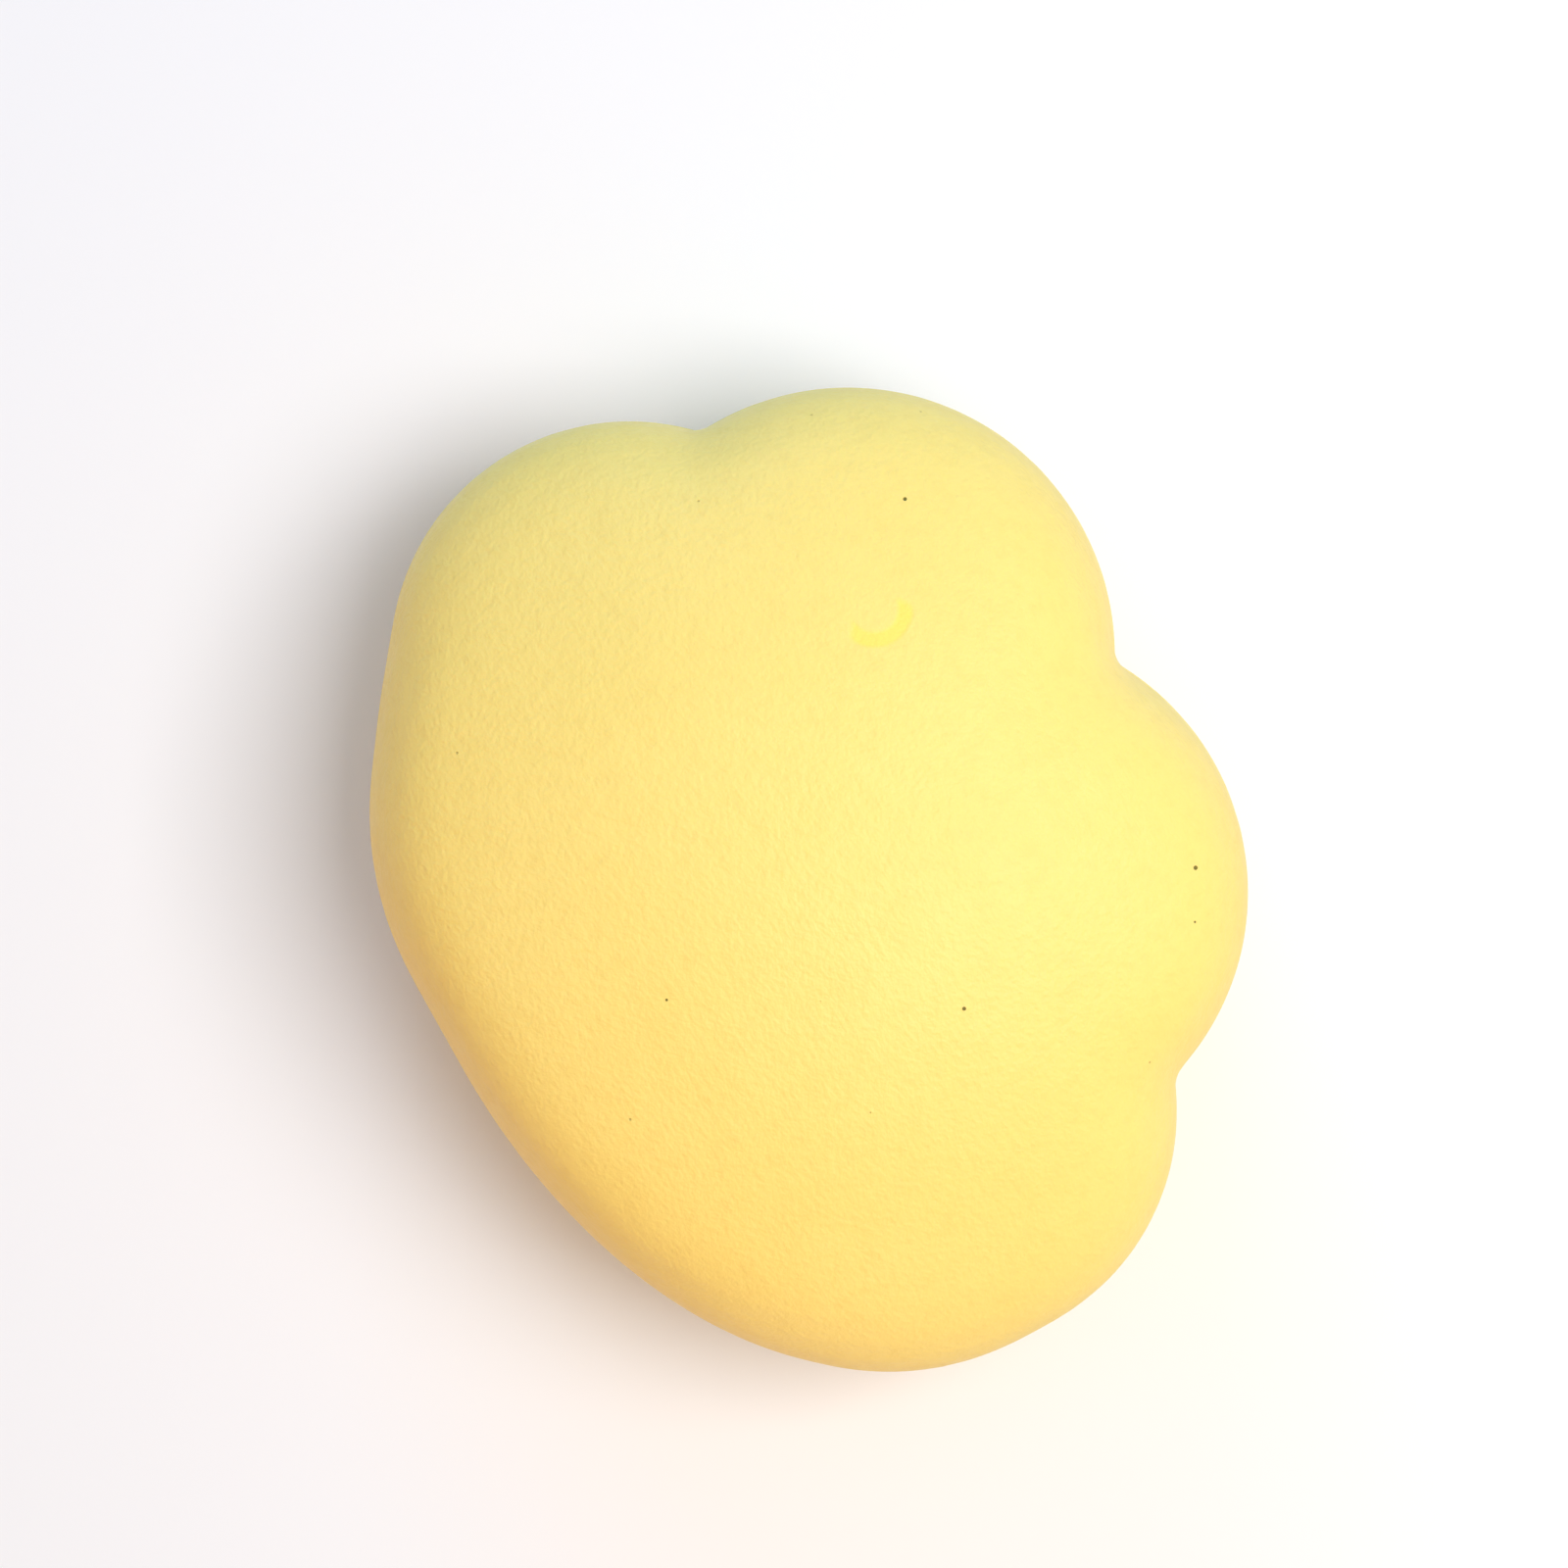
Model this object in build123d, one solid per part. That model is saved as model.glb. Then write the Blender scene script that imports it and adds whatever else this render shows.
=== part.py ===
from build123d import *
import math
import os

# A paw-shaped slow-rise foam stress toy, in millimetres. It lies on its pads, back up.
# +Y runs towards the toes, +X to the right as seen from above, and z = 0 is the surface it lies on.
# The origin is under the middle of the outline.

# ---------------------------------------------------------------- driving dimensions

# The palm, as seen from above: a rounded oblong, deeper behind its widest line than in front.
PALM_HALF_WIDTH = 47.7
PALM_BACK_DEPTH = 41.4
PALM_FRONT_DEPTH = 20.0
PALM_SHIFT_X = -0.3
PALM_SQUARENESS = 2.4
PALM_CURVE_POINTS = 25

# The four toes, as seen from above: centre, then radius. The mould's toes are not quite mirrored.
TOES = {
    "outer_left": ((-27.2, -5.3), 24.9),
    "inner_left": ((-17.1, 14.1), 27.2),
    "inner_right": ((10.5, 13.4), 27.4),
    "outer_right": ((21.7, -4.3), 30.4),
}
NOTCH_ROUND = 4.0
HEEL_ROUND = 35.0

# Heights. The body stands on its pads, which bulge below the underside.
THICKNESS = 48.0
PAD_BULGE = 1.5
PARTING_HEIGHT = 20.5

# The back and the underside are parts of two large spheres, and their rims are rounded.
CROWN_RADIUS = 88.0
BASE_RADIUS = 300.0
BACK_RIM_ROUND = 12.0
BASE_RIM_ROUND = 12.0

# Skin and clearances.
SKIN = 1.0
PARTING_GAP = 0.3
FOAM_GAP = 0.3
PAD_GAP = 0.3

# The pads stand in pockets in the foam. A toe pad is an oval: centre, then turn from +Y in degrees.
PAD_SINK = 6.0
PAD_EDGE_ROUND = 2.0
TOE_PAD_LENGTH = 20.0
TOE_PAD_WIDTH = 15.0
TOE_PADS = {
    "outer_left": ((-34.0, -1.0), 62.0),
    "inner_left": ((-18.5, 21.0), 20.0),
    "inner_right": ((12.5, 21.0), -18.0),
    "outer_right": ((33.5, -0.5), -60.0),
}

# The palm pad: two heel lobes side by side and one lobe in front of them, with the creases filled.
HEEL_LOBE_RADIUS = 11.5
HEEL_LOBE_OFFSET = 10.0
HEEL_LOBE_Y = -19.0
FRONT_LOBE_RADIUS = 13.0
FRONT_LOBE_Y = -9.0
PALM_PAD_X = -1.0
CREASE_ROUND = 5.0

UNDERSIDE = PAD_BULGE
PAD_TOP = PAD_BULGE + PAD_SINK
BEYOND = 4 * THICKNESS


# ---------------------------------------------------------------- the body's shape

def palm_half(depth, inset):
    """Half of the palm's rounded oblong, inset all round: |x/a|^n + |y/b|^n = 1. A negative depth is behind."""
    half_width = PALM_HALF_WIDTH - inset
    reach = math.copysign(abs(depth) - inset, depth)
    power = 2 / PALM_SQUARENESS
    points = []
    for i in range(PALM_CURVE_POINTS):
        angle = math.pi * i / (PALM_CURVE_POINTS - 1)
        across = math.copysign(abs(math.cos(angle)) ** power, math.cos(angle))
        points.append((half_width * across, reach * math.sin(angle) ** power))
    curve = Spline(points)
    return make_face(curve + Line(points[-1], points[0]))


def paw_outline(inset):
    """The body's widest outline, seen from above. Its corners are the three notches between the toes,
    and the two flat hollows where the outer toes run into the palm's back half."""
    palm = palm_half(-PALM_BACK_DEPTH, inset) + palm_half(PALM_FRONT_DEPTH, inset)
    outline = Pos(PALM_SHIFT_X, 0) * palm
    for (x, y), radius in TOES.values():
        outline += Pos(x, y) * Circle(radius - inset)
    notches = [v for v in outline.vertices() if v.Y > 0]
    outline = fillet(notches, NOTCH_ROUND + inset)
    hollows = outline.vertices().sort_by(Axis.Y)[:2]
    return fillet(hollows, HEEL_ROUND + inset)


def paw_body(inset):
    """The closed body, with every face inset by the same amount: a flat-sided block of the outline,
    cut to a domed back and a nearly flat underside, with both rims rounded."""
    block = extrude(paw_outline(inset), amount=THICKNESS)
    side_on = Rot(90, 0, 0)
    crown = Pos(0, 0, THICKNESS - CROWN_RADIUS) * side_on * Sphere(CROWN_RADIUS - inset)
    base = Pos(0, 0, UNDERSIDE + BASE_RADIUS) * side_on * Sphere(BASE_RADIUS - inset)
    body = block & crown & base
    back_rim = body.faces().sort_by(Axis.Z)[-1].outer_wire().edges()
    body = fillet(back_rim, BACK_RIM_ROUND - inset)
    base_rim = body.faces().sort_by(Axis.Z)[0].outer_wire().edges()
    return fillet(base_rim, BASE_RIM_ROUND - inset)


# ---------------------------------------------------------------- the pads' shapes

def toe_pad_outline(place, turn, grow):
    """A toe pad's oval, grown all round."""
    oval = Ellipse(TOE_PAD_WIDTH / 2 + grow, TOE_PAD_LENGTH / 2 + grow)
    return Pos(*place) * Rot(0, 0, turn) * oval


def palm_pad_outline(grow):
    """The palm pad's three lobes, grown all round, with the creases between them filled."""
    lobes = Pos(0, FRONT_LOBE_Y) * Circle(FRONT_LOBE_RADIUS + grow)
    for side in (-1, 1):
        lobes += Pos(side * HEEL_LOBE_OFFSET, HEEL_LOBE_Y) * Circle(HEEL_LOBE_RADIUS + grow)
    lobes = fillet(lobes.vertices(), CREASE_ROUND - grow)
    return Pos(PALM_PAD_X, 0) * lobes


def pad_outlines(grow):
    """Every pad's outline by name."""
    outlines = {"palm_pad": palm_pad_outline(grow)}
    for toe, (place, turn) in TOE_PADS.items():
        outlines["toe_pad_" + toe] = toe_pad_outline(place, turn, grow)
    return outlines


def pad(outline):
    """A pad stands on z = 0 with its lower edge rounded."""
    block = extrude(outline, amount=PAD_TOP)
    lower_edge = block.faces().sort_by(Axis.Z)[0].outer_wire().edges()
    return fillet(lower_edge, PAD_EDGE_ROUND)


# ---------------------------------------------------------------- the pieces

def half_space(low, high):
    """A block far wider than the toy, between two heights."""
    return Pos(0, 0, (low + high) / 2) * Box(BEYOND, BEYOND, high - low)


def pieces():
    """Every piece by node name."""
    made = {name: pad(outline) for name, outline in pad_outlines(0).items()}
    wells = [extrude(outline, amount=PAD_TOP) for outline in pad_outlines(PAD_GAP).values()]

    foam = paw_body(SKIN + FOAM_GAP)
    skin = paw_body(0) - paw_body(SKIN)
    made["back_skin"] = skin & half_space(PARTING_HEIGHT + PARTING_GAP / 2, BEYOND)
    front = skin & half_space(-BEYOND, PARTING_HEIGHT - PARTING_GAP / 2)
    for well in wells:
        foam -= well
        front -= well
    made["foam_core"] = foam
    made["front_skin"] = front
    return made


os.makedirs("parts", exist_ok=True)
for node, shape in pieces().items():
    export_step(shape, f"parts/{node}.step")
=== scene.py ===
import math

import bpy
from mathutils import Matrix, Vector


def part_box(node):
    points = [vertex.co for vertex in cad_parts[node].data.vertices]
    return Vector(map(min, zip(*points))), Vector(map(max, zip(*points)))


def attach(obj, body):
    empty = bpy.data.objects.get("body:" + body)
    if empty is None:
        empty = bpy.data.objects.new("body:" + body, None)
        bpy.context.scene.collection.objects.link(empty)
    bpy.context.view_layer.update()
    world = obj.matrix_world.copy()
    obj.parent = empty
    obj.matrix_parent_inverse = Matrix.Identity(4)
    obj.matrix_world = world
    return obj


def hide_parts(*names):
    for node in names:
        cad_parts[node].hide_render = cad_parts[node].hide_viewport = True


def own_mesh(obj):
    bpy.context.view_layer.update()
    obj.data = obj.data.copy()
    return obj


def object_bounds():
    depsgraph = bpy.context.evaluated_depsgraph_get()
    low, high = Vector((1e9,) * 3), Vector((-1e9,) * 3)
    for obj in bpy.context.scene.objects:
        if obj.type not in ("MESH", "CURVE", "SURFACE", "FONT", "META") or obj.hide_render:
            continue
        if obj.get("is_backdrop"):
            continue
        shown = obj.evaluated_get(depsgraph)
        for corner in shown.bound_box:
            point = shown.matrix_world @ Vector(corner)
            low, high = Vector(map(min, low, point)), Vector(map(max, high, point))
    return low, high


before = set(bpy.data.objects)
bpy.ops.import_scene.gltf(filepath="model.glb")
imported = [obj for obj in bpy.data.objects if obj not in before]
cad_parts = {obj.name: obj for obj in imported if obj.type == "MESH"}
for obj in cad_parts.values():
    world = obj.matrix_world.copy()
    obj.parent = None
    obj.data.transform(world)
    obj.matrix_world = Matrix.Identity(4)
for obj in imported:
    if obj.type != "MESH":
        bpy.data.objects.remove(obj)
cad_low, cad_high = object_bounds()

MM = 0.001


# ---------------------------------------------------------------- the mould's form
# A slow-rise toy takes its whole shape from a two-part mould. The form is worked up as a pattern maker
# would: a stack of discs for the toes, heels and palm, cut undersize and turned to two large radii, then
# built out in even layers of clay, which rounds every rim. The skins and the foam come from this form.

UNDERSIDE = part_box("front_skin")[0].z
PARTING = (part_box("back_skin")[0].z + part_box("front_skin")[1].z) / 2
TOP = cad_high.z

CROWN_RADIUS = 88.0 * MM
BASE_RADIUS = 300.0 * MM
RIM_ROUND = 10.5 * MM
CLAY_LAYERS = 6
CLAY_GRAIN = 0.85 * MM
LAST_SMOOTHINGS = 7
SMOOTHING_LOSS = 0.03 * MM
WALL_BULGE = 1.5 * MM
BULGE_REACH = 15 * MM
RUBBED_FROM = (25 * MM, 28 * MM, 31 * MM, 34 * MM)
RUBBINGS = 12

# seen from above: middle, half width, half depth. One smooth wall runs round the first five.
PALM_DISCS = {
    "palm": ((0.7 * MM, -6.3 * MM), 49.6 * MM, 34.2 * MM),
    "heel_left": ((-10.2 * MM, -5.5 * MM), 34.8 * MM, 34.8 * MM),
    "heel_right": ((22.9 * MM, -4.5 * MM), 28.4 * MM, 28.4 * MM),
    "toe_outer_left": ((-27.8 * MM, -5.2 * MM), 24.1 * MM, 24.1 * MM),
    "toe_outer_right": ((27.3 * MM, -1.2 * MM), 24.1 * MM, 24.1 * MM),
}
INNER_TOE_DISCS = {
    "toe_inner_left": ((-17.1 * MM, 14.1 * MM), 27.0 * MM, 27.0 * MM),
    "toe_inner_right": ((10.5 * MM, 13.9 * MM), 26.7 * MM, 26.7 * MM),
}


def deselect_all():
    """Nothing stays selected, so that the next operator acts on one piece."""
    if bpy.context.object and bpy.context.object.mode != "OBJECT":
        bpy.ops.object.mode_set(mode="OBJECT")
    bpy.ops.object.select_all(action="DESELECT")


def pick(*pieces):
    """Selects these pieces alone, the first of them active."""
    deselect_all()
    for piece in pieces:
        piece.select_set(True)
    bpy.context.view_layer.objects.active = pieces[0]
    return pieces[0]


def select_where(piece, kind, test):
    """In edit mode, selects the edges or vertices whose middle passes the test."""
    pick(piece)
    bpy.ops.object.mode_set(mode="EDIT")
    bpy.ops.mesh.select_mode(type={"edges": "EDGE", "vertices": "VERT"}[kind])
    bpy.ops.mesh.select_all(action="DESELECT")
    bpy.ops.object.mode_set(mode="OBJECT")
    points = piece.data.vertices
    for part in getattr(piece.data, kind):
        if kind == "vertices":
            part.select = test(part.co)
        else:
            part.select = test(sum((points[i].co for i in part.vertices), Vector()) / len(part.vertices))
    bpy.ops.object.mode_set(mode="EDIT")


def finish_with(piece, kind, **settings):
    """Adds one modifier, sets it and applies it."""
    pick(piece)
    modifier = piece.modifiers.new(kind.title(), kind)
    for name, value in settings.items():
        setattr(modifier, name, value)
    bpy.ops.object.modifier_apply(modifier=modifier.name)


def remesh(piece, grain, smoothings):
    """Turns a piece into one closed even mesh, then smooths it."""
    pick(piece)
    piece.data.remesh_voxel_size = grain
    bpy.ops.object.voxel_remesh()
    finish_with(piece, "SMOOTH", factor=0.5, iterations=smoothings)


def join(name, pieces):
    """Makes several pieces into one."""
    pick(*pieces)
    bpy.ops.object.join()
    joined = bpy.context.object
    joined.name = name
    return joined


def copy_of(piece, name):
    """A second piece with its own mesh."""
    pick(piece)
    bpy.ops.object.duplicate()
    copy = bpy.context.object
    copy.name = name
    return copy


def fatten(piece, amount):
    """Moves the whole surface outwards, or inwards if the amount is negative."""
    select_where(piece, "vertices", lambda at: True)
    bpy.ops.transform.shrink_fatten(value=amount)
    bpy.ops.object.mode_set(mode="OBJECT")


def oval_block(name, half_width, half_depth, low, high):
    """An oval block between two heights, round the Z axis."""
    deselect_all()
    place = (0, 0, (low + high) / 2)
    bpy.ops.mesh.primitive_cylinder_add(vertices=128, radius=1, depth=high - low, location=place)
    block = bpy.context.object
    block.name = name
    block.scale = (half_width, half_depth, 1)
    bpy.ops.object.transform_apply(location=True, rotation=False, scale=True)
    return block


def put(piece, middle, turn=0.0):
    """Turns a piece about the Z axis and moves it, in its mesh."""
    pick(piece)
    piece.rotation_euler.z = turn
    piece.location = (*middle, 0)
    bpy.ops.object.transform_apply(location=True, rotation=True)
    return piece


def undersize_disc(name, middle, half_width, half_depth):
    """A disc of the pattern, short of its full size all round by the clay still to come."""
    short = RIM_ROUND + WALL_BULGE
    disc = oval_block(name, half_width - short, half_depth - short, UNDERSIDE, TOP)
    return put(disc, middle)


def turn_to_radius(piece, radius, middle):
    """Keeps only what lies inside a large ball."""
    deselect_all()
    bpy.ops.mesh.primitive_ico_sphere_add(subdivisions=6, radius=radius, location=(0, 0, middle))
    ball = bpy.context.object
    bpy.ops.object.transform_apply(location=True)
    finish_with(piece, "BOOLEAN", operation="INTERSECT", solver="EXACT", object=ball)
    bpy.data.objects.remove(ball)


palm = join("palm", [undersize_disc(name, *size) for name, size in PALM_DISCS.items()])
select_where(palm, "vertices", lambda at: True)
bpy.ops.mesh.convex_hull()
bpy.ops.object.mode_set(mode="OBJECT")
form = join("form", [palm] + [undersize_disc(name, *size) for name, size in INNER_TOE_DISCS.items()])
remesh(form, CLAY_GRAIN, 0)
turn_to_radius(form, CROWN_RADIUS - RIM_ROUND, TOP - CROWN_RADIUS)
turn_to_radius(form, BASE_RADIUS - RIM_ROUND, UNDERSIDE + BASE_RADIUS)
remesh(form, CLAY_GRAIN, 1)
for layer in range(CLAY_LAYERS):
    fatten(form, RIM_ROUND / CLAY_LAYERS)
    remesh(form, CLAY_GRAIN, 1)
remesh(form, CLAY_GRAIN, LAST_SMOOTHINGS)

# the valleys between the toes are rubbed down on the back, and hardly at all on the wall
for height in RUBBED_FROM:
    select_where(form, "vertices", lambda at: at.z > height)
    bpy.ops.mesh.vertices_smooth(factor=0.5, repeat=RUBBINGS)
    bpy.ops.object.mode_set(mode="OBJECT")

# the wall bellies out a little all round, most at the parting
select_where(form, "vertices", lambda at: abs(at.z - PARTING) < 1 * MM)
bpy.ops.transform.shrink_fatten(
    value=WALL_BULGE,
    use_proportional_edit=True,
    use_proportional_connected=True,
    proportional_edit_falloff="SMOOTH",
    proportional_size=BULGE_REACH,
)
bpy.ops.object.mode_set(mode="OBJECT")

# the smoothing above takes a hair off the crown and the underside
fatten(form, SMOOTHING_LOSS)


# ---------------------------------------------------------------- toe pads and palm pad
# Five soft pads of the same foam in a pinker skin, cast on their own and pressed into wells in the
# underside. Each is a low cushion with a rolled edge; the weight of the toy presses its face flat.

PAD_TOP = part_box("palm_pad")[1].z
PAD_ROLL = 4.5 * MM
PAD_GRAIN = 0.6 * MM
PAD_PLAY = 0.3 * MM
TOE_PAD_SIZE = (7.5 * MM, 10.0 * MM)
TOE_PAD_TURNS = {"outer_left": 62, "inner_left": 20, "inner_right": -18, "outer_right": -60}
PALM_LOBES = [
    ((-11 * MM, -19 * MM), 11.5 * MM),
    ((9 * MM, -19 * MM), 11.5 * MM),
    ((-1 * MM, -9 * MM), 13 * MM),
]
PINK = (0.84, 0.36, 0.33, 1)
CHALKY_PINK = (0.90, 0.44, 0.40, 1)
# painted shade: the dark red inside the pads' pinholes
PIT_PAINTED_SHADE_RED = (0.45, 0.16, 0.14, 1)

# the mould's fine orange peel and its broader leathery swells: size, then height in millimetres
PEEL_SIZE, PEEL_HEIGHT = 0.6 * MM, 0.115
SWELL_SIZE, SWELL_HEIGHT = 4.5 * MM, 0.10


class Signal:
    """A value that varies over a surface. Arithmetic on it adds Math nodes."""

    def __init__(self, finish, socket):
        self.finish = finish
        self.socket = socket

    def maths(self, operation, first, second):
        return self.finish.node("Math", {"operation": operation}, {0: first, 1: second})

    def __add__(self, other):
        return self.maths("ADD", self, other)

    def __sub__(self, other):
        return self.maths("SUBTRACT", self, other)

    def __rsub__(self, other):
        return self.maths("SUBTRACT", other, self)

    def __mul__(self, other):
        return self.maths("MULTIPLY", self, other)

    def larger(self, other):
        return self.maths("MAXIMUM", self, other)

    __radd__ = __add__
    __rmul__ = __mul__


class Finish:
    """The nodes of one surface finish, or of the room's light."""

    def __init__(self, name, owner=None):
        self.owner = owner or bpy.data.materials.new(name)
        self.owner.use_nodes = True
        self.tree = self.owner.node_tree

    def set(self, node, sockets):
        """Gives a node's sockets their values or links."""
        for name, value in sockets.items():
            if isinstance(value, Signal):
                self.tree.links.new(value.socket, node.inputs[name])
            else:
                node.inputs[name].default_value = value

    def node(self, kind, settings, sockets, output=0):
        """Adds one node: its settings first, then its sockets; gives back one output."""
        node = self.tree.nodes.new("ShaderNode" + kind)
        for name, value in settings.items():
            setattr(node, name, value)
        self.set(node, sockets)
        return Signal(self, node.outputs[output])

    def place(self):
        """Where a point lies on the piece, in metres."""
        return self.node("TexCoord", {}, {}, "Object")

    def noise(self, size, detail=2.0, roughness=0.5):
        """Soft blotches about this size, from 0 to 1."""
        sockets = {"Vector": self.place(), "Scale": 1 / size, "Detail": detail, "Roughness": roughness}
        return self.node("TexNoise", {}, sockets)

    def cells(self, size):
        """How far a point lies from the middle of its cell, in cell sizes."""
        return self.node("TexVoronoi", {"feature": "F1"}, {"Vector": self.place(), "Scale": 1 / size})

    def fade(self, value, start, end):
        """From 0 at start to 1 at end, eased."""
        sockets = {"Value": value, "From Min": start, "From Max": end}
        return self.node("MapRange", {"interpolation_type": "SMOOTHSTEP"}, sockets)

    def blend(self, amount, low, high):
        """One colour at amount 0 and the other at 1."""
        return self.node("Mix", {"data_type": "RGBA"}, {0: amount, 6: low, 7: high}, 2)

    def distance_from(self, x, y):
        """How far a point of the surface lies from a place, both seen from above, with the place in mm."""
        flat = self.node("VectorMath", {"operation": "MULTIPLY"}, {0: self.place(), 1: (1, 1, 0)})
        spot = (x * MM, y * MM, 0)
        return self.node("VectorMath", {"operation": "DISTANCE"}, {0: flat, 1: spot}, "Value")

    def raised(self, height, strength=1.0):
        """A surface normal for heights given in millimetres."""
        return self.node("Bump", {}, {"Strength": strength, "Distance": MM, "Height": height})

    def shine(self, **sockets):
        """Sets the surface shader."""
        named = {name.replace("_", " "): value for name, value in sockets.items()}
        self.set(self.tree.nodes["Principled BSDF"], named)
        return self.owner


def pits(finish, spacing, radius):
    """Pinholes left by gas bubbles that opened at the mould's wall: balls at random places in space,
    seen where the surface cuts them. 1 in a pit, 0 elsewhere. The finishes dent the pits and darken them
    with painted shade."""
    return finish.fade(finish.cells(spacing), radius / spacing, radius / spacing * 0.6)


def moulded_skin(finish):
    """The height of the skin's grain, in millimetres."""
    peel = finish.noise(PEEL_SIZE, detail=2.0)
    swell = finish.noise(SWELL_SIZE, detail=1.0)
    return peel * PEEL_HEIGHT + swell * SWELL_HEIGHT


def pad_finish():
    """Soft pink skin, a little chalky on the swells, with painted shade in its pinholes."""
    finish = Finish("pad_skin")
    chalk = finish.fade(finish.noise(6 * MM, detail=4), 0.35, 0.7)
    pinholes = pits(finish, 5.5 * MM, 0.25 * MM)
    colour = finish.blend(chalk, PINK, CHALKY_PINK)
    # painted shade in the pinholes
    colour = finish.blend(pinholes, colour, PIT_PAINTED_SHADE_RED)
    return finish.shine(
        Base_Color=colour,
        Roughness=0.46 + finish.noise(3 * MM) * 0.14,
        Normal=finish.raised(moulded_skin(finish) - pinholes * 0.2),
        Subsurface_Weight=0.08,
        Subsurface_Radius=(1.0, 0.45, 0.3),
        Subsurface_Scale=1.5 * MM,
    )


def soft_pad(name, lobes):
    """Rolls the lower edge of each lobe, makes the lobes one cushion, and presses its face flat."""
    blocks = []
    for middle, half_width, half_depth, turn in lobes:
        block = oval_block(name, half_width, half_depth, 0, PAD_TOP)
        select_where(block, "edges", lambda at: abs(at.z) < 0.01 * MM)
        bpy.ops.mesh.bevel(offset=PAD_ROLL, segments=8, affect="EDGES")
        blocks.append(put(block, middle, math.radians(turn)))
    pad = join(name, blocks)
    remesh(pad, PAD_GRAIN, 6)
    pick(pad)
    bpy.ops.object.shade_smooth()
    return pad


pads = [soft_pad("palm_cushion", [(middle, radius, radius, 0) for middle, radius in PALM_LOBES])]
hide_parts("palm_pad")
for toe, turn in TOE_PAD_TURNS.items():
    low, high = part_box("toe_pad_" + toe)
    middle = ((low.x + high.x) / 2, (low.y + high.y) / 2)
    pads.append(soft_pad("toe_cushion_" + toe, [(middle, *TOE_PAD_SIZE, turn)]))
    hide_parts("toe_pad_" + toe)

pad_skin = pad_finish()
for pad in pads:
    pad.data.materials.append(pad_skin)
    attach(pad, "front")
    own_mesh(pad)

wells = join("wells", [copy_of(pad, pad.name + "_well") for pad in pads])
fatten(wells, PAD_PLAY)


# ---------------------------------------------------------------- foam core
# Slow-rise polyurethane foam, poured into the mould and risen to fill it: the whole inside of the toy.
# It is open-celled, a little paler than its skin, with five shallow wells for the pads.

SKIN_WALL = 1.0 * MM
FOAM_PLAY = 0.3 * MM
FOAM_CELL = 0.8 * MM
FOAM_BUBBLE = 3 * MM
CREAM = (0.93, 0.78, 0.34, 1)
# painted shade: the darker colour put into the hollows of the cells
CELL_PAINTED_SHADE = (0.72, 0.52, 0.14, 1)


def foam_finish():
    """Fine open cells with a few larger bubbles among them, their hollows darkened with painted shade."""
    finish = Finish("open_cell_foam")
    small = finish.fade(finish.cells(FOAM_CELL), 0.45, 0.1)
    large = finish.fade(finish.cells(FOAM_BUBBLE), 0.3, 0.2)
    hollow = small.larger(large)
    return finish.shine(
        # painted shade in the cell hollows, over the cream foam
        Base_Color=finish.blend(hollow, CREAM, CELL_PAINTED_SHADE),
        Roughness=0.9,
        Normal=finish.raised(hollow * -0.25),
    )


foam = copy_of(form, "foam_body")
fatten(foam, -SKIN_WALL - FOAM_PLAY)
finish_with(foam, "BOOLEAN", operation="DIFFERENCE", solver="EXACT", object=wells)
bpy.ops.object.shade_smooth_by_angle(angle=math.radians(40))
foam.data.materials.append(foam_finish())
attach(foam, "front")
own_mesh(foam)
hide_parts("foam_core")


# ---------------------------------------------------------------- underside skin
# The skin that the foam grows against the cold mould: a tough, matte, butter-yellow layer a millimetre
# thick. The lower half wraps the underside up to the parting line, with a window for each pad.

SEAM_LIP = 0.22 * MM
SEAM_GAP = 0.06 * MM
LIP_HALF_WIDTH, LIP_HALF_DEPTH = 50 * MM, 40 * MM
BUTTER = (0.91, 0.70, 0.190, 1)
PALE_BUTTER = (0.93, 0.717, 0.204, 1)
FLECK_BUTTER = (0.86, 0.64, 0.17, 1)
STRETCHED_YELLOW = (0.92, 0.74, 0.11, 1)
# painted shade: the dark colour inside the pinholes and opened bubbles
PIT_PAINTED_SHADE_OLIVE = (0.2, 0.16, 0.02, 1)

# the larger opened bubbles on the back: across, along, radius, all in millimetres
OPEN_BUBBLES = [
    (18.0, 32.3, 0.23),
    (22.5, 29.6, 0.12),
    (-27.0, 26.0, 0.2),
    (18.0, 6.0, 0.2),
    (3.0, -18.0, 0.14),
]

# the nail dent curves round the first of these places, and the second is the middle of its curve
DENT_CENTRE = (-19.25, 17.9)
DENT_BELLY = (-16.35, 17.8)


def open_bubbles(finish):
    """The larger bubbles on the back that opened as the toy left the mould."""
    pits_opened = []
    for x, y, radius in OPEN_BUBBLES:
        pits_opened.append(finish.fade(finish.distance_from(x, y), radius * MM, radius * 0.6 * MM))
    opened = pits_opened[0]
    for pit in pits_opened[1:]:
        opened = opened.larger(pit)
    return opened


def nail_dent(finish):
    """A short curved dent, as a finger nail leaves, where the skin is stretched and its colour deeper:
    what lies between two circles, near one side of them."""
    centre = finish.distance_from(*DENT_CENTRE)
    belly = finish.distance_from(*DENT_BELLY)
    ring = finish.fade(centre, 4.0 * MM, 3.5 * MM) * finish.fade(centre, 2.05 * MM, 2.6 * MM)
    return ring * finish.fade(belly, 4.0 * MM, 3.1 * MM)


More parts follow.
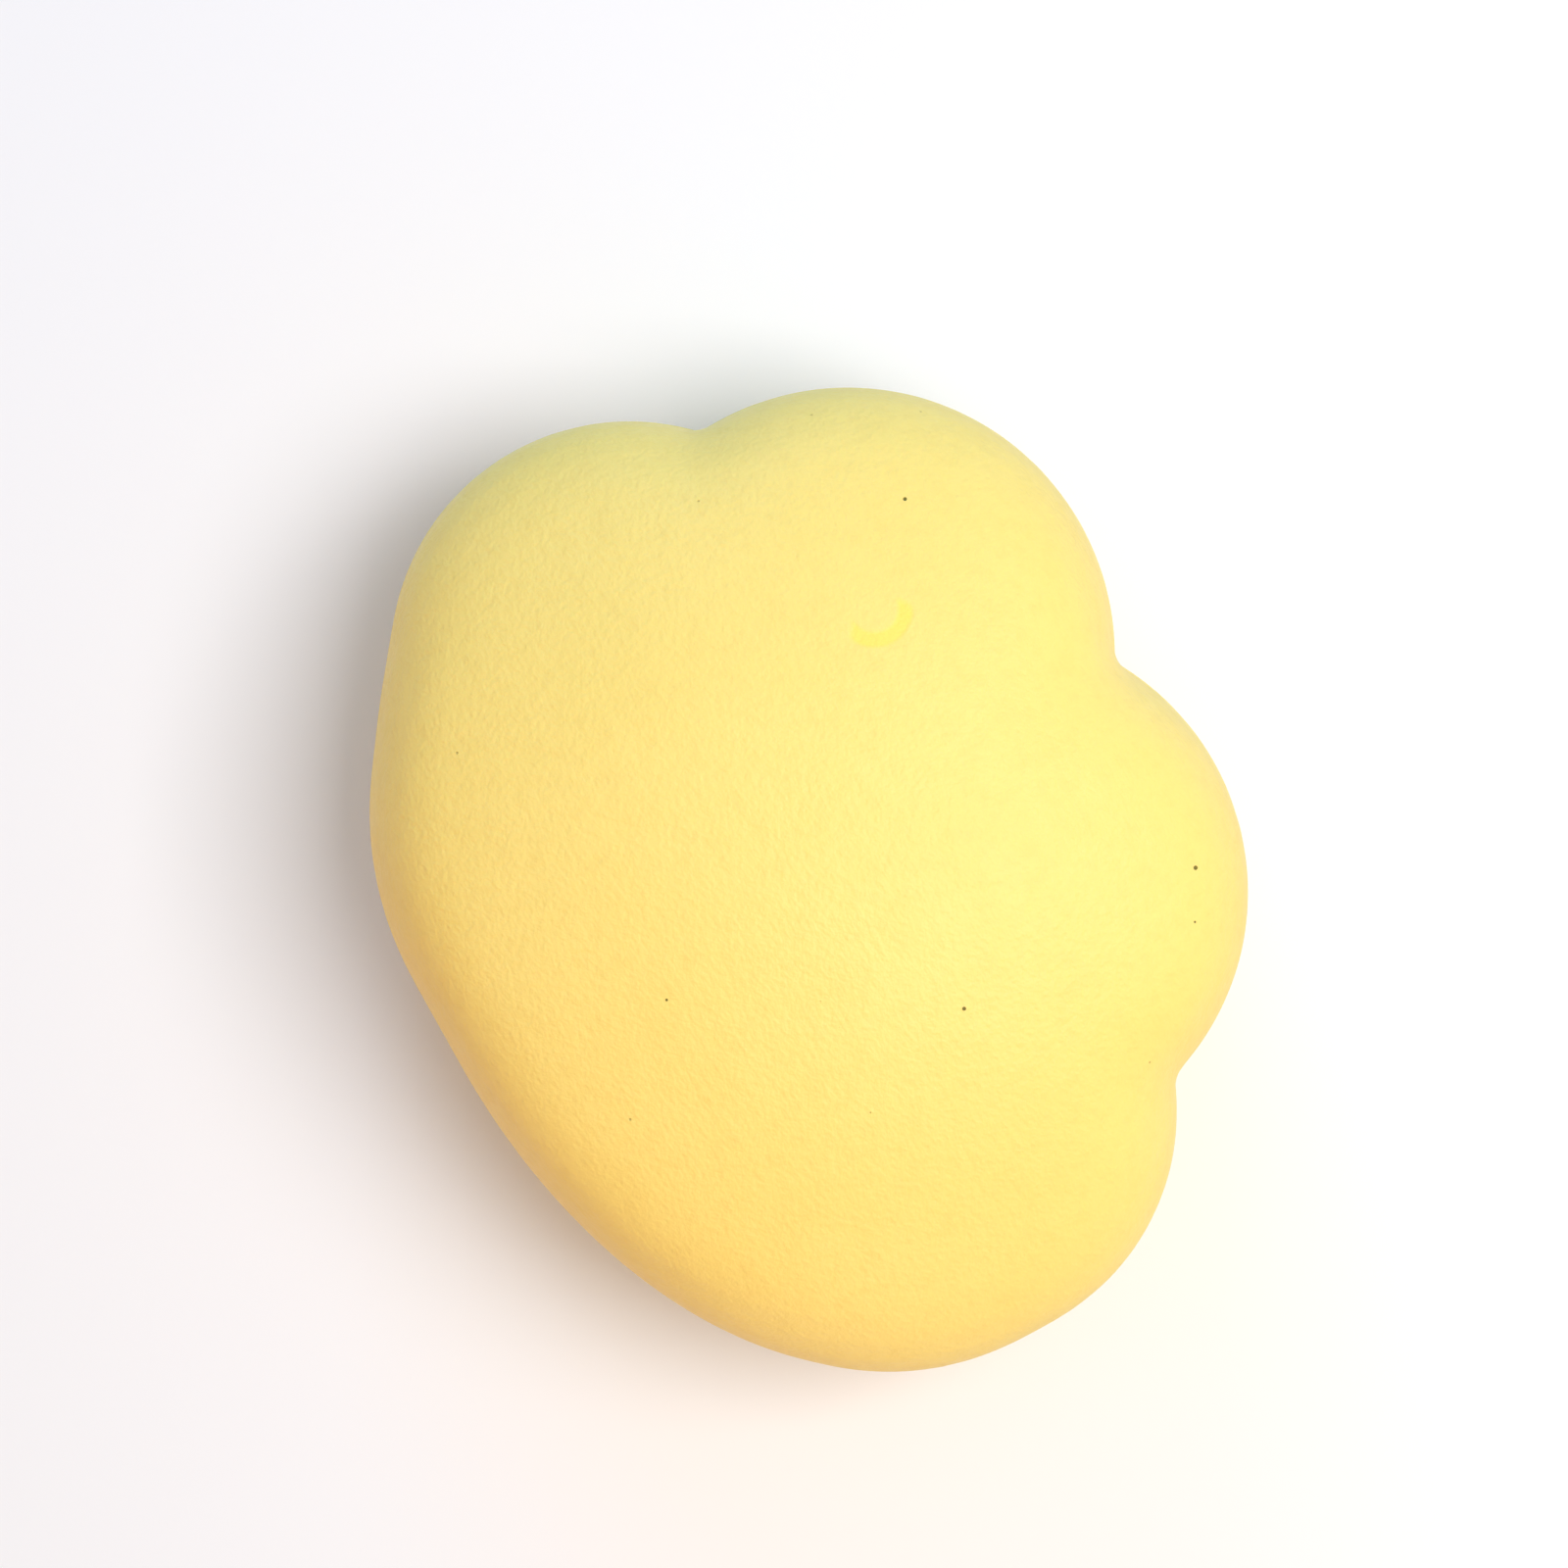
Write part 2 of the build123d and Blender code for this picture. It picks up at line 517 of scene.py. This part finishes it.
def skin_finish(name, with_marks):
    """Butter-yellow moulded skin. The back carries the marks of handling."""
    finish = Finish(name)
    cloud = finish.fade(finish.noise(22 * MM, detail=3), 0.3, 0.7)
    fleck = finish.fade(finish.noise(1.6 * MM, detail=3), 0.42, 0.75)
    pinholes = pits(finish, 6.3 * MM, 0.15 * MM) * 0.4
    colour = finish.blend(cloud, BUTTER, PALE_BUTTER)
    colour = finish.blend(fleck * 0.35, colour, FLECK_BUTTER)
    height = moulded_skin(finish)
    if with_marks:
        pinholes = pinholes.larger(open_bubbles(finish))
        dent = nail_dent(finish)
        colour = finish.blend(dent * 0.72, colour, STRETCHED_YELLOW)
        height = height - dent * 0.05
    # painted shade: the pits are darkened to stand in for the shade inside them
    colour = finish.blend(pinholes, colour, PIT_PAINTED_SHADE_OLIVE)
    return finish.shine(
        Base_Color=colour,
        Roughness=0.42 + finish.noise(3.5 * MM) * 0.16,
        Normal=finish.raised(height - pinholes * 0.3),
        Subsurface_Weight=0.08,
        Specular_IOR_Level=0.3,
        Subsurface_Radius=(1.0, 0.6, 0.2),
        Subsurface_Scale=1.5 * MM,
    )


def half_skin(name, keep_back):
    """One half of the form's surface, cut at the parting, with a slight lip there and a wall inwards."""
    skin = copy_of(form, name)
    cut = PARTING + SEAM_GAP / 2 if keep_back else PARTING - SEAM_GAP / 2
    select_where(skin, "vertices", lambda at: True)
    bpy.ops.mesh.bisect(
        plane_co=(0, 0, cut),
        plane_no=(0, 0, 1),
        clear_inner=keep_back,
        clear_outer=not keep_back,
    )
    bpy.ops.object.mode_set(mode="OBJECT")
    finish_with(skin, "SOLIDIFY", thickness=SKIN_WALL, offset=-1)
    select_where(skin, "vertices", lambda at: abs(at.z - cut) < 0.02 * MM)
    lip = (1 + SEAM_LIP / LIP_HALF_WIDTH, 1 + SEAM_LIP / LIP_HALF_DEPTH, 1)
    bpy.ops.transform.resize(value=lip, center_override=(0, 0, 0))
    bpy.ops.object.mode_set(mode="OBJECT")
    return skin


front = half_skin("front_shell", keep_back=False)
finish_with(front, "BOOLEAN", operation="DIFFERENCE", solver="EXACT", object=wells)
bpy.ops.object.shade_smooth_by_angle(angle=math.radians(40))
front.data.materials.append(skin_finish("front_skin_yellow", with_marks=False))
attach(front, "front")
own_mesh(front)
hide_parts("front_skin")


# ---------------------------------------------------------------- back skin
# The upper half of the same skin: one plain dome over toes and palm. It shows a few opened bubbles, and
# the dent of a finger nail between the inner left toe and the middle.

back = half_skin("back_shell", keep_back=True)
pick(back)
bpy.ops.object.shade_smooth_by_angle(angle=math.radians(40))
back.data.materials.append(skin_finish("back_skin_yellow", with_marks=True))
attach(back, "back")
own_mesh(back)
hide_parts("back_skin")

for helper in (form, wells):
    bpy.data.objects.remove(helper)


# ---------------------------------------------------------------- floor, light and camera
# A plain pale table top. One large soft light stands high beyond the toes, and a weak bluish one low on
# the left. The room fills the rest, warm from the heel side and a duller blue from the left.

FLOOR_SIZE = 4.0
HEEL_TOWARDS = (0.3, -0.95, 0)
LEFT_TOWARDS = (-0.95, 0.3, 0)
ROOM_WHITE = (1, 0.985, 0.95, 1)
HEEL_ORANGE = (1.7, 0.56, 0.0, 1)
LEFT_BLUE = (0.6, 0.8, 0.92, 1)
ROOM_STRENGTH = 0.52

deselect_all()
bpy.ops.mesh.primitive_plane_add(size=FLOOR_SIZE, location=(0, 0, 0))
floor = bpy.context.object
floor.name = "floor"
floor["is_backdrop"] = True
table = Finish("pale_table")
floor.data.materials.append(table.shine(Base_Color=(0.86, 0.86, 0.86, 1), Roughness=0.8))

bpy.context.scene.world = bpy.data.worlds.new("room")
room = Finish("room", bpy.context.scene.world)
towards = room.node("TexCoord", {}, {}, "Generated")
heel_side = room.node("VectorMath", {"operation": "DOT_PRODUCT"}, {0: towards, 1: HEEL_TOWARDS}, "Value")
left_side = room.node("VectorMath", {"operation": "DOT_PRODUCT"}, {0: towards, 1: LEFT_TOWARDS}, "Value")
glow = room.blend(room.fade(heel_side, 0.4, 0.95), ROOM_WHITE, HEEL_ORANGE)
glow = room.blend(room.fade(left_side, 0.2, 0.9), glow, LEFT_BLUE)
room.set(room.tree.nodes["Background"], {"Color": glow, "Strength": ROOM_STRENGTH})

CAMERA_ROLL = math.radians(59.7)
KEY_TOWARDS = Vector((math.cos(CAMERA_ROLL), math.sin(CAMERA_ROLL), 0))
KEY_REACH, KEY_HEIGHT, KEY_SIZE, KEY_POWER = 0.25, 0.60, 0.35, 3.2

SIDE_REACH, SIDE_HEIGHT, SIDE_SIZE, SIDE_POWER = 0.70, 0.30, 0.40, 1.6


def soft_light(name, place, size, power, colour):
    """A square light turned to the middle of the toy. The camera doesn't see it."""
    deselect_all()
    bpy.ops.object.light_add(type="AREA", location=place)
    light = bpy.context.object
    light.name = name
    light.data.size = size
    light.data.energy = power
    light.data.color = colour
    light.visible_camera = False
    light.rotation_euler = (Vector((0, 0, PARTING)) - place).to_track_quat("-Z", "Y").to_euler()


key_place = KEY_TOWARDS * KEY_REACH + Vector((0, 0, KEY_HEIGHT))
soft_light("key_light", key_place, KEY_SIZE, KEY_POWER, (1, 0.97, 0.975))
side_place = Vector(LEFT_TOWARDS) * SIDE_REACH + Vector((0, 0, SIDE_HEIGHT))
soft_light("cool_side_light", side_place, SIDE_SIZE, SIDE_POWER, (0.05, 0.45, 1))

CAMERA_DISTANCE = 0.40
VIEW_WIDTH = 159.2 * MM
LOOK_AT = Vector((-9.1 * MM, 2.0 * MM, PARTING))

deselect_all()
bpy.ops.object.camera_add(location=LOOK_AT + Vector((0, 0, CAMERA_DISTANCE)), rotation=(0, 0, CAMERA_ROLL))
camera = bpy.context.object
camera.data.sensor_width = 36
camera.data.lens = camera.data.sensor_width * CAMERA_DISTANCE / VIEW_WIDTH
camera.data.clip_start = 0.01
bpy.context.scene.camera = camera
bpy.context.scene.view_settings.view_transform = "Standard"

low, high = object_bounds()
